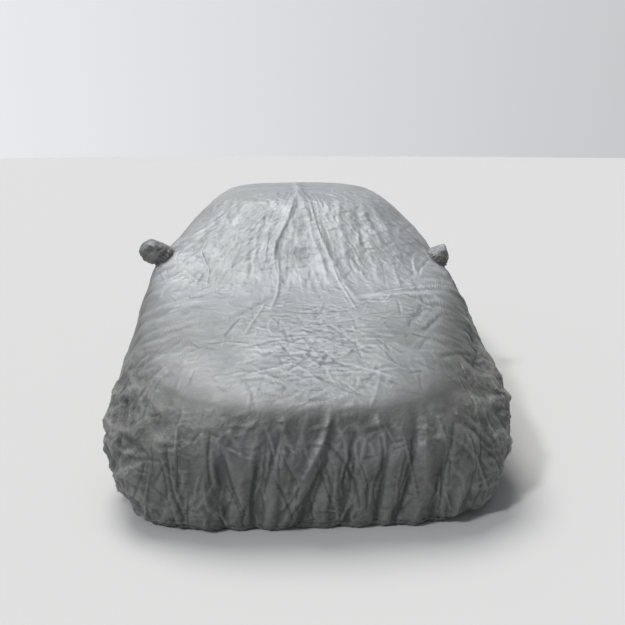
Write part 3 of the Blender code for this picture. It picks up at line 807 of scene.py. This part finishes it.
RUN_TURNS, RUNS = ring_runs()


def shaped(sheet, creases):
    """The sheet's points with every fold and crease, hem and seam."""
    base = sheet.base
    x, back, up = base[..., 0], base[..., 1], base[..., 2]
    zone = zones(base, sheet.turn, sheet.level)
    hem = on_rings(sheet.turn, np.full(sheet.turn.shape, 1.0))
    below = np.linalg.norm(base - hem, axis=-1)
    around = np.interp(sheet.turn, RUN_TURNS, RUNS)
    beside = np.abs(np.abs(x) - SEAM_X)
    run = np.where(sheet.level > BONNET_EDGE, up, back)
    calm = ease(0.0, HEM_BAND + 0.03, below)
    height = main_relief(base, zone)
    pull = pulls(base, zone)
    hand = hand_creases(base, zone)
    fine = hand + crumple(base, zone, pull) + scattered_relief(base, creases)
    height += calm * fine
    height += (0.35 + 0.65 * calm) * lumps(base)
    height += hem_relief(below, around)
    # Painted light: the relief's ridges are painted lighter as highlights and its hollows darker as shade.
    painted_crease_light = painted_crease_light_from(height)
    height += seam_relief(base, beside, run)
    under = (np.abs(x) < SEAM_X + 0.03) & sheet.is_side
    seen = seam_seen(up)
    height -= under * (0.0006 + 0.0010 * seen) * (1 - ease(SEAM_X + 0.001, SEAM_X + 0.020, np.abs(x)))
    keen = 1 - 0.45 * pull["glass"] + 0.8 * pull["crush"] - 0.7 * pull["side"]
    keen = keen - 0.6 * (back > 2.2) * zone["top"]
    # Painted shade: the shoulder on the +X side, below the bonnet's edge, is painted darker.
    painted_shoulder_shade = ease(0.66, 0.82, x) * ease(0.50, 0.62, sheet.level) * (1 - ease(0.70, 0.80, sheet.level))
    painted_shoulder_shade = painted_shoulder_shade * (1 - ease(0.9, 1.5, back))
    edge = ease(SEAM_X - 0.005, SEAM_X, np.abs(x))
    height -= 0.0010 * seen * edge * (not sheet.is_side)
    busy = 0.25 + 0.8 * pull["middle"] + 0.25 * pull["glass"] + pull["face"] + pull["corner"]
    sheet.shades = {
        # Painted light and shade: the listed creases' hollows are painted darker and their ridges lighter,
        # and the +X shoulder is painted darker.
        "painted_crease_light": np.clip(painted_crease_light * keen + 0.55 * np.clip(hand / 0.010, -1, 0.7) - 0.55 * painted_shoulder_shade, -1, 1),
        "glass": pull["glass"],
        "face": np.clip(pull["face"] + 0.3 * pull["side"] + 0.3 * pull["end"], 0, 1),
        "corner": pull["crush"],
        "busy": np.clip(busy, 0, 1),
    }
    return base + sheet.normal * height[..., None] + mirror_tent(base)


def blurred(values, reach):
    """Mean of the values within so many grid steps each way."""
    for axis in (0, 1):
        pad = [(0, 0), (0, 0)]
        pad[axis] = (reach + 1, reach)
        total = np.cumsum(np.pad(values, pad, mode="edge"), axis=axis)
        count = values.shape[axis]
        upper = np.take(total, range(2 * reach + 1, 2 * reach + 1 + count), axis=axis)
        values = (upper - np.take(total, range(count), axis=axis)) / (2 * reach + 1)
    return values


def painted_crease_light_from(height):
    """Painted light on the relief: above 0 on ridges, which are painted lighter as highlights, and below 0
    in hollows, which are painted darker as shade.
    """
    near = (height - blurred(height, 2)) / 0.0010
    wide = (height - blurred(height, 9)) / 0.0050
    return np.clip(0.8 * near + 0.4 * wide, -1, 1)


def hem_tail(points, normals, spacing=0.0055):
    """Rows that turn under the hem and run up inside, behind the last row of points."""
    last = points[-1]
    fall = last - points[-2]
    fall /= np.linalg.norm(fall, axis=-1, keepdims=True)
    inward = -normals[-1]
    inward = inward - fall * (inward * fall).sum(-1, keepdims=True)
    inward /= np.linalg.norm(inward, axis=-1, keepdims=True)
    rows = []
    for angle in np.linspace(0.5, np.pi, 5):
        rows.append(last + HEM_RADIUS * ((1 - math.cos(angle)) * inward + math.sin(angle) * fall))
    steps = int(HEM_TURN / spacing)
    for i in range(1, steps + 1):
        rows.append(rows[4] - fall * (HEM_TURN * i / steps))
    return np.stack(rows)


def add_mesh(name, points, flipped, shades, hole=None):
    """One smooth mesh from a grid of points, facing out."""
    rows, columns = points.shape[:2]
    index = np.arange(rows * columns).reshape(rows, columns)
    quads = np.stack((index[:-1, :-1], index[1:, :-1], index[1:, 1:], index[:-1, 1:]), -1)
    if not flipped:
        quads = quads[..., ::-1]
    quads = quads.reshape(-1, 4)
    if hole is not None:
        quads = quads[~hole[quads].all(1)]
    mesh = bpy.data.meshes.new(name)
    mesh.vertices.add(rows * columns)
    mesh.vertices.foreach_set("co", to_frame(points).reshape(-1).astype(np.float32))
    mesh.loops.add(len(quads) * 4)
    mesh.loops.foreach_set("vertex_index", quads.reshape(-1).astype(np.int32))
    mesh.polygons.add(len(quads))
    mesh.polygons.foreach_set("loop_start", np.arange(0, len(quads) * 4, 4, dtype=np.int32))
    mesh.polygons.foreach_set("use_smooth", np.ones(len(quads), dtype=bool))
    mesh.update(calc_edges=True)
    mesh.validate()
    for label, shade in shades.items():
        layer = mesh.attributes.new(label, "FLOAT", "POINT")
        layer.data.foreach_set("value", shade.reshape(-1).astype(np.float32))
    piece = bpy.data.objects.new(name, mesh)
    bpy.context.collection.objects.link(piece)
    return piece


def painted_light_on(normals, across=None, level=None):
    """Painted light: cloth that faces up is painted lighter and upright cloth darker, as light falls from
    above; less light is painted on the bonnet's sides and past its edge, with a lighter painted band across
    the nose.
    """
    painted_light = ease(0.42, 0.93, normals[..., 2])
    if level is not None:
        painted_light = painted_light * (1 - 0.48 * ease(0.22, 0.42, np.abs(across)) * ease(0.48, 0.60, level))
        painted_light = painted_light * (1 - ease(0.64, 0.755, level + 0.14 * ease(0.45, 0.80, across)))
        nose_band = ease(0.74, 0.79, level) * (1 - ease(0.79, 0.87, level))
        nose_band = nose_band * (1 - ease(0.25, 0.60, np.abs(across)))
        painted_light = painted_light + 0.26 * nose_band + 0.13 * ease(0.86, 0.93, level)
    return painted_light


sheets = {"centre_panel": centre_sheet(), "right_panel": side_sheet(-1), "left_panel": side_sheet(1)}
for name, sheet in sheets.items():
    sheet.is_side = name != "centre_panel"
pool_points = np.concatenate([sheet.base.reshape(-1, 3) for sheet in sheets.values()])
pool_normals = np.concatenate([sheet.normal.reshape(-1, 3) for sheet in sheets.values()])
pool_areas = np.concatenate([sheet.area.reshape(-1) for sheet in sheets.values()])
creases = scatter_creases(pool_points, pool_normals, pool_areas)

shapes = {name: shaped(sheet, creases) for name, sheet in sheets.items()}

# ---------------------------------------------------------------- mirror pockets

NECK = 0.055
POCKET_ROWS = (
    (0.0, 1.00), (0.14, 1.00), (0.32, 1.02), (0.52, 0.98),
    (0.70, 0.86), (0.86, 0.64), (0.96, 0.36), (1.0, 0.03),
)
MOUTH_HALF_LENGTH = 0.085
MOUTH_HALF_HEIGHT = 0.070
POCKET_COLUMNS = 140
POCKET_STEPS = 80


def pocket_place(mirror, name):
    """The middle of the pocket's mouth on its panel, and the directions along, up and out of it."""
    points = shapes[name].reshape(-1, 3)
    normals = sheets[name].normal.reshape(-1, 3)
    target = np.array((mirror.side * PANEL_OUT, MIRROR_BACK, MIRROR_UP))
    near = np.argsort(((points - target) ** 2).sum(1))[:200]
    out = normals[near].mean(0)
    out /= np.linalg.norm(out)
    middle = target - out * ((target - points[near].mean(0)) @ out)
    along = np.array((0.0, 1.0, 0.0))
    along -= out * (along @ out)
    along /= np.linalg.norm(along)
    return middle, along, np.cross(out, along) * mirror.side, out


def on_panel(name, place, a, r):
    """The panel's own surface at distances along and up from a mouth's middle."""
    middle, along, rise, out = place
    points = shapes[name].reshape(-1, 3)
    near = points[((points - middle) ** 2).sum(1) < 0.2**2]
    flat = np.stack(((near - middle) @ along, (near - middle) @ rise), -1)
    depth = (near - middle) @ out
    found = np.empty(a.shape)
    for i in np.ndindex(a.shape):
        distance = ((flat - (a[i], r[i])) ** 2).sum(1)
        close = np.argpartition(distance, 8)[:8]
        weight = 1 / (distance[close] + 1e-6)
        found[i] = (depth[close] * weight).sum() / weight.sum()
    return middle + a[..., None] * along + r[..., None] * rise + found[..., None] * out


def pocket_points(mirror, name, place, seed):
    middle, along, rise, out = place
    angle = np.linspace(0, 2 * np.pi, POCKET_COLUMNS + 1)
    spread = np.stack((np.cos(angle), np.sin(angle)), -1)
    rows = []
    for grow, lift in ((1.16, 0.0006), (1.13, 0.0022), (1.07, 0.0026), (1.02, 0.0020)):
        long, high = MOUTH_HALF_LENGTH * grow, MOUTH_HALF_HEIGHT * grow
        rim = on_panel(name, place, long * spread[:, 0], high * spread[:, 1])
        rows.append(rim + lift * out)
    start = rows[-1]
    tip = middle + np.array((mirror.side * mirror.reach, 0.0, mirror.lift))
    neck = middle + NECK * out
    marks, girths = np.array(POCKET_ROWS).T
    shares = np.sin(np.linspace(0.012, 1, POCKET_STEPS) * np.pi / 2)
    for share in shares:
        girth = np.interp(share, marks, girths)
        core = (1 - share) ** 2 * middle + 2 * share * (1 - share) * neck + share**2 * tip
        settle = ease(0.12, 0.75, share)
        crease = 1 + 0.07 * np.sin(3 * angle + 4 * share) + 0.05 * np.sin(5 * angle - 7 * share)
        zero = 0 * angle
        oval = np.stack((zero, np.cos(angle) * mirror.half_length, np.sin(angle) * mirror.half_height), -1)
        spoke = (start - middle) * (1 - settle) + oval * crease[:, None] * settle
        rows.append(core + spoke * girth)
    points = np.stack(rows)
    across = np.roll(points[:, :-1], -1, axis=1) - np.roll(points[:, :-1], 1, axis=1)
    across = np.concatenate((across, across[:, :1]), 1)
    down = np.gradient(points, axis=0)
    normal = np.cross(across, down)
    normal /= np.linalg.norm(normal, axis=-1, keepdims=True) + 1e-12
    outward = points - points.mean((0, 1))
    if (normal * outward).sum() < 0:
        normal = -normal
    free = ease(3, 14, np.arange(len(rows)))[:, None]
    height = 0.004 * (ridges(points / 0.060, seed) - 0.35)
    height += 0.0015 * (ridges(points / 0.026, seed + 7) - 0.35)
    height += 0.005 * noise(points / 0.06, seed + 11)
    gather = np.sin(angle * 21 + 3 * noise(np.stack((angle, zero, zero), -1), seed + 5))
    height += 0.0022 * gather * np.exp(-((np.arange(len(rows)) - 8.0) / 9.0) ** 2)[:, None]
    lift = free * height
    lift[:, -1] = lift[:, 0]
    return points + normal * lift[..., None], normal, lift


# ---------------------------------------------------------------- cloth material


# Painted light: the darker colour stands for upright cloth in shade, the lighter for cloth that faces up to
# the light.
SHADED_UPRIGHT_CLOTH = (0.092, 0.095, 0.092, 1)
LIT_LYING_CLOTH = (0.236, 0.251, 0.268, 1)  # painted lighter, the tone of cloth lit from above


def set_inputs(tree, node, inputs):
    """Gives each input a constant or another node's output."""
    for name, value in inputs.items():
        if hasattr(value, "is_linked"):
            tree.links.new(value, node.inputs[name])
        else:
            node.inputs[name].default_value = value


def add_node(tree, kind, inputs, operation=None):
    node = tree.nodes.new("ShaderNode" + kind)
    if operation:
        node.operation = operation
    set_inputs(tree, node, inputs)
    return node


def add_range(tree, value, low, high, to_low, to_high):
    ends = {"From Min": low, "From Max": high, "To Min": to_low, "To Max": to_high}
    return add_node(tree, "MapRange", {"Value": value, **ends}).outputs["Result"]


def coated_cloth():
    material = bpy.data.materials.new("coated_cloth")
    material.use_nodes = True
    tree = material.node_tree
    tree.nodes.clear()

    def add(kind, inputs, operation=None):
        return add_node(tree, kind, inputs, operation)

    def noise_node(scale, detail, roughness=0.55):
        inputs = {"Vector": places, "Scale": scale, "Detail": detail, "Roughness": roughness}
        return add("TexNoise", inputs).outputs["Fac"]

    def crinkles(stretch, scale):
        """Sharp-edged wrinkles, finer than the mesh, that run the way the cloth is pulled."""
        run = add("Mapping", {"Vector": places, "Scale": stretch}).outputs["Vector"]
        inputs = {"Vector": run, "Scale": scale, "Detail": 4, "Roughness": 0.55, "Distortion": 0.25}
        node = add("TexNoise", inputs)
        node.noise_type = "RIDGED_MULTIFRACTAL"
        return node.outputs["Fac"]

    def broken_facets(scale):
        """Flat facets that meet in sharp edges, as stiff coated cloth breaks where it is crushed."""
        sway = add("TexNoise", {"Vector": places, "Scale": 9}).outputs["Color"]
        shift = add("VectorMath", {0: sway, 1: (0.10, 0.10, 0.10), 2: places}, "MULTIPLY_ADD")
        return add("TexVoronoi", {"Vector": shift.outputs[0], "Scale": scale}).outputs["Distance"]

    def ramp(value, low, high, to_low, to_high):
        return add_range(tree, value, low, high, to_low, to_high)

    def mix(share, a, b, kind="MIX"):
        node = add("Mix", {})
        node.data_type = "RGBA"
        node.blend_type = kind
        set_inputs(tree, node, {0: share, 6: a, 7: b})
        return node.outputs[2]

    def tint(share, colour, by):
        return mix(share, colour, mix(1.0, colour, by, "MULTIPLY"))

    def attribute(name):
        node = add("Attribute", {})
        node.attribute_name = name
        return node.outputs["Fac"]

    def times(name, factor):
        return add("Math", {0: attribute(name), 1: factor}, "MULTIPLY").outputs[0]

    places = add("TexCoord", {}).outputs["Object"]
    up = add("SeparateXYZ", {0: places}).outputs["Z"]
    painted_crease_light = attribute("painted_crease_light")
    # Painted light and shade: lighter where the cloth faces up, darker where it stands upright.
    colour = mix(attribute("painted_light"), SHADED_UPRIGHT_CLOTH, LIT_LYING_CLOTH)
    for share, by in (
        (ramp(noise_node(3.2, 4), 0.35, 0.65, 0.0, 1.0), (0.88, 0.88, 0.87, 1)),  # blotches
        (ramp(noise_node(70, 5, 0.7), 0.40, 0.72, 0.0, 0.35), (0.78, 0.77, 0.75, 1)),  # specks
        (ramp(up, -REST_UP, -REST_UP + 0.30, 0.45, 0.0), (0.93, 0.88, 0.80, 1)),  # splashes near the hem
        (ramp(painted_crease_light, -1.0, 0.0, 0.9, 0.0), (0.56, 0.56, 0.57, 1)),  # painted shade in the hollows
        (ramp(painted_crease_light, 0.0, 1.0, 0.0, 0.9), (1.35, 1.35, 1.35, 1)),  # painted highlight on the ridges
    ):
        colour = tint(share, colour, by)
    broken, crushed = broken_facets(9), broken_facets(24)
    # Painted light and shade on the crushed corners: facet edges are painted lighter and their pits darker.
    for value in (broken, crushed):
        level = ramp(value, 0.10, 0.70, 0.72, 1.18)
        painted_facet_shade = add("CombineColor", {0: level, 1: level, 2: level}).outputs[0]
        colour = tint(attribute("corner"), colour, painted_facet_shade)

    bumps = None
    for value, strength, distance in (
        (broken, times("corner", 0.80), 0.034),
        (crushed, times("corner", 0.80), 0.010),
        (crinkles((1.0, 0.30, 0.30), 16), times("glass", 0.85), 0.011),
        (crinkles((1.0, 1.0, 0.32), 13), times("face", 0.95), 0.036),
        (crinkles((0.7, 1.0, 1.0), 20), times("busy", 0.85), 0.021),
        (noise_node(60, 5, 0.65), times("busy", 0.85), 0.007),
        (noise_node(420, 3, 0.6), 0.35, 0.0005),
    ):
        inputs = {"Height": value, "Strength": strength, "Distance": distance}
        if bumps is not None:
            inputs["Normal"] = bumps
        bumps = add("Bump", inputs).outputs["Normal"]

    looks = {
        "Base Color": colour,
        "Metallic": 0.15,
        "Roughness": ramp(noise_node(9, 4), 0.3, 0.7, 0.42, 0.58),
        "Specular IOR Level": 0.45,
        "Sheen Weight": 0.10,
        "Sheen Roughness": 0.5,
        "Normal": bumps,
    }
    add("OutputMaterial", {"Surface": add("BsdfPrincipled", looks).outputs["BSDF"]})
    return material


cloth = coated_cloth()


def finish_piece(piece, node):
    piece.data.materials.append(cloth)
    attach(piece, "root")
    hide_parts(node)


places = {}
for mirror, name in ((RIGHT_MIRROR, "right_panel"), (LEFT_MIRROR, "left_panel")):
    places[name] = pocket_place(mirror, name)

pieces = {}
for name, sheet in sheets.items():
    points = shapes[name]
    normals = sheet.normal
    ends = [None, hem_tail(points, normals)]
    if name == "centre_panel":
        ends[0] = hem_tail(points[::-1], normals[::-1])[::-1]
    counts = [0 if end is None else len(end) for end in ends]
    whole = np.concatenate([part for part in (ends[0], points, ends[1]) if part is not None])
    # Painted light: lighter where the cloth faces up, darker where it stands upright.
    sheet.shades["painted_light"] = painted_light_on(normals, sheet.base[..., 0], sheet.level)
    shades = {}
    for label, shade in sheet.shades.items():
        shades[label] = np.pad(shade, (counts, (0, 0)), mode="edge")
    hole = None
    if name in places:
        middle, along, rise, out = places[name]
        off = whole - middle
        size = ((off @ along) / MOUTH_HALF_LENGTH) ** 2 + ((off @ rise) / MOUTH_HALF_HEIGHT) ** 2
        hole = ((size < 0.90) & (np.abs(off @ out) < 0.10)).reshape(-1)
    pieces[name] = add_mesh(name + "_cloth", whole, sheet.flipped, shades, hole)
    finish_piece(pieces[name], name)

for mirror, panel, node, seed in (
    (RIGHT_MIRROR, "right_panel", "right_mirror_pocket", 500),
    (LEFT_MIRROR, "left_panel", "left_mirror_pocket", 600),
):
    points, normals, lift = pocket_points(mirror, panel, places[panel], seed)
    ones = np.ones(lift.shape)
    shades = {
        # painted light on the pockets' relief: ridges lighter, hollows darker
        "painted_crease_light": painted_crease_light_from(lift),
        "glass": 0 * ones,
        "face": 0 * ones,
        # also sets the crushed corners' painted facet light and shade on the pockets
        "corner": 0.6 * ones,
        "busy": 0.6 * ones,
        # painted light on the pockets, weaker than on the panels
        "painted_light": 0.45 * painted_light_on(normals),
    }
    pieces[node] = add_mesh(node + "_cloth", points, mirror.side > 0, shades)
    finish_piece(pieces[node], node)


def cloth_area(piece):
    return sum(polygon.area for polygon in piece.data.polygons)


for name, piece in pieces.items():
    print(name, "area", round(cloth_area(piece), 3), "quads", len(piece.data.polygons))

# ---------------------------------------------------------------- floor, light and camera

FLOOR = -REST_UP - 0.006
bpy.ops.mesh.primitive_circle_add(vertices=128, radius=60, fill_type="NGON", location=(0, 0, FLOOR))
floor = bpy.context.object
floor.name = "floor"
pale = bpy.data.materials.new("pale_floor")
pale.use_nodes = True
surface = pale.node_tree.nodes["Principled BSDF"]
plain = {"Base Color": (0.42, 0.42, 0.42, 1), "Roughness": 0.9, "Specular IOR Level": 0.1}
set_inputs(pale.node_tree, surface, plain)
floor.data.materials.append(pale)

# The sky is bright in a low band, dim above it and bright again overhead, and dimmer on the +X side.
# Each step is (sine of height, brightness).
SKY = ((0.0, 0.80), (0.20, 0.80), (0.34, 0.22), (0.70, 0.30), (1.0, 0.85))
world = bpy.data.worlds.new("studio")
bpy.context.scene.world = world
world.use_nodes = True
sky = world.node_tree
direction = add_node(sky, "SeparateXYZ", {0: add_node(sky, "TexCoord", {}).outputs["Generated"]})
bands = add_node(sky, "ValToRGB", {"Fac": direction.outputs["Z"]})
steps = bands.color_ramp.elements
while len(steps) < len(SKY):
    steps.new(1.0)
for step, (place, bright) in zip(steps, SKY):
    step.position = place
    step.color = (0.95 * bright, 0.97 * bright, bright, 1)
side_fade = add_range(sky, direction.outputs["X"], -0.8, 0.8, 1.20, 0.65)
set_inputs(sky, sky.nodes["Background"], {"Color": bands.outputs["Color"], "Strength": side_fade})


def soft_light(name, towards, energy, angle, colour):
    lamp = bpy.data.lights.new(name, "SUN")
    lamp.energy = energy
    lamp.angle = math.radians(angle)
    lamp.color = colour
    light = bpy.data.objects.new(name, lamp)
    bpy.context.collection.objects.link(light)
    light.rotation_euler = Vector(towards).to_track_quat("Z", "Y").to_euler()


soft_light("overhead", (-0.22, 0.36, 1.0), 3.2, 30, (1.0, 0.985, 0.96))
soft_light("front_fill", (-0.75, -0.55, 1.0), 1.9, 7, (0.97, 0.98, 1.0))

lens = bpy.data.cameras.new("camera")
lens.sensor_width = 36
lens.lens = 34.56
camera = bpy.data.objects.new("camera", lens)
bpy.context.collection.objects.link(camera)
camera.location = (-0.11, -2.14 - REST_BACK, 1.576 - REST_UP)
camera.rotation_euler = (math.radians(74), 0, math.radians(-2.6))
bpy.context.scene.camera = camera
bpy.context.scene.view_settings.view_transform = "Standard"
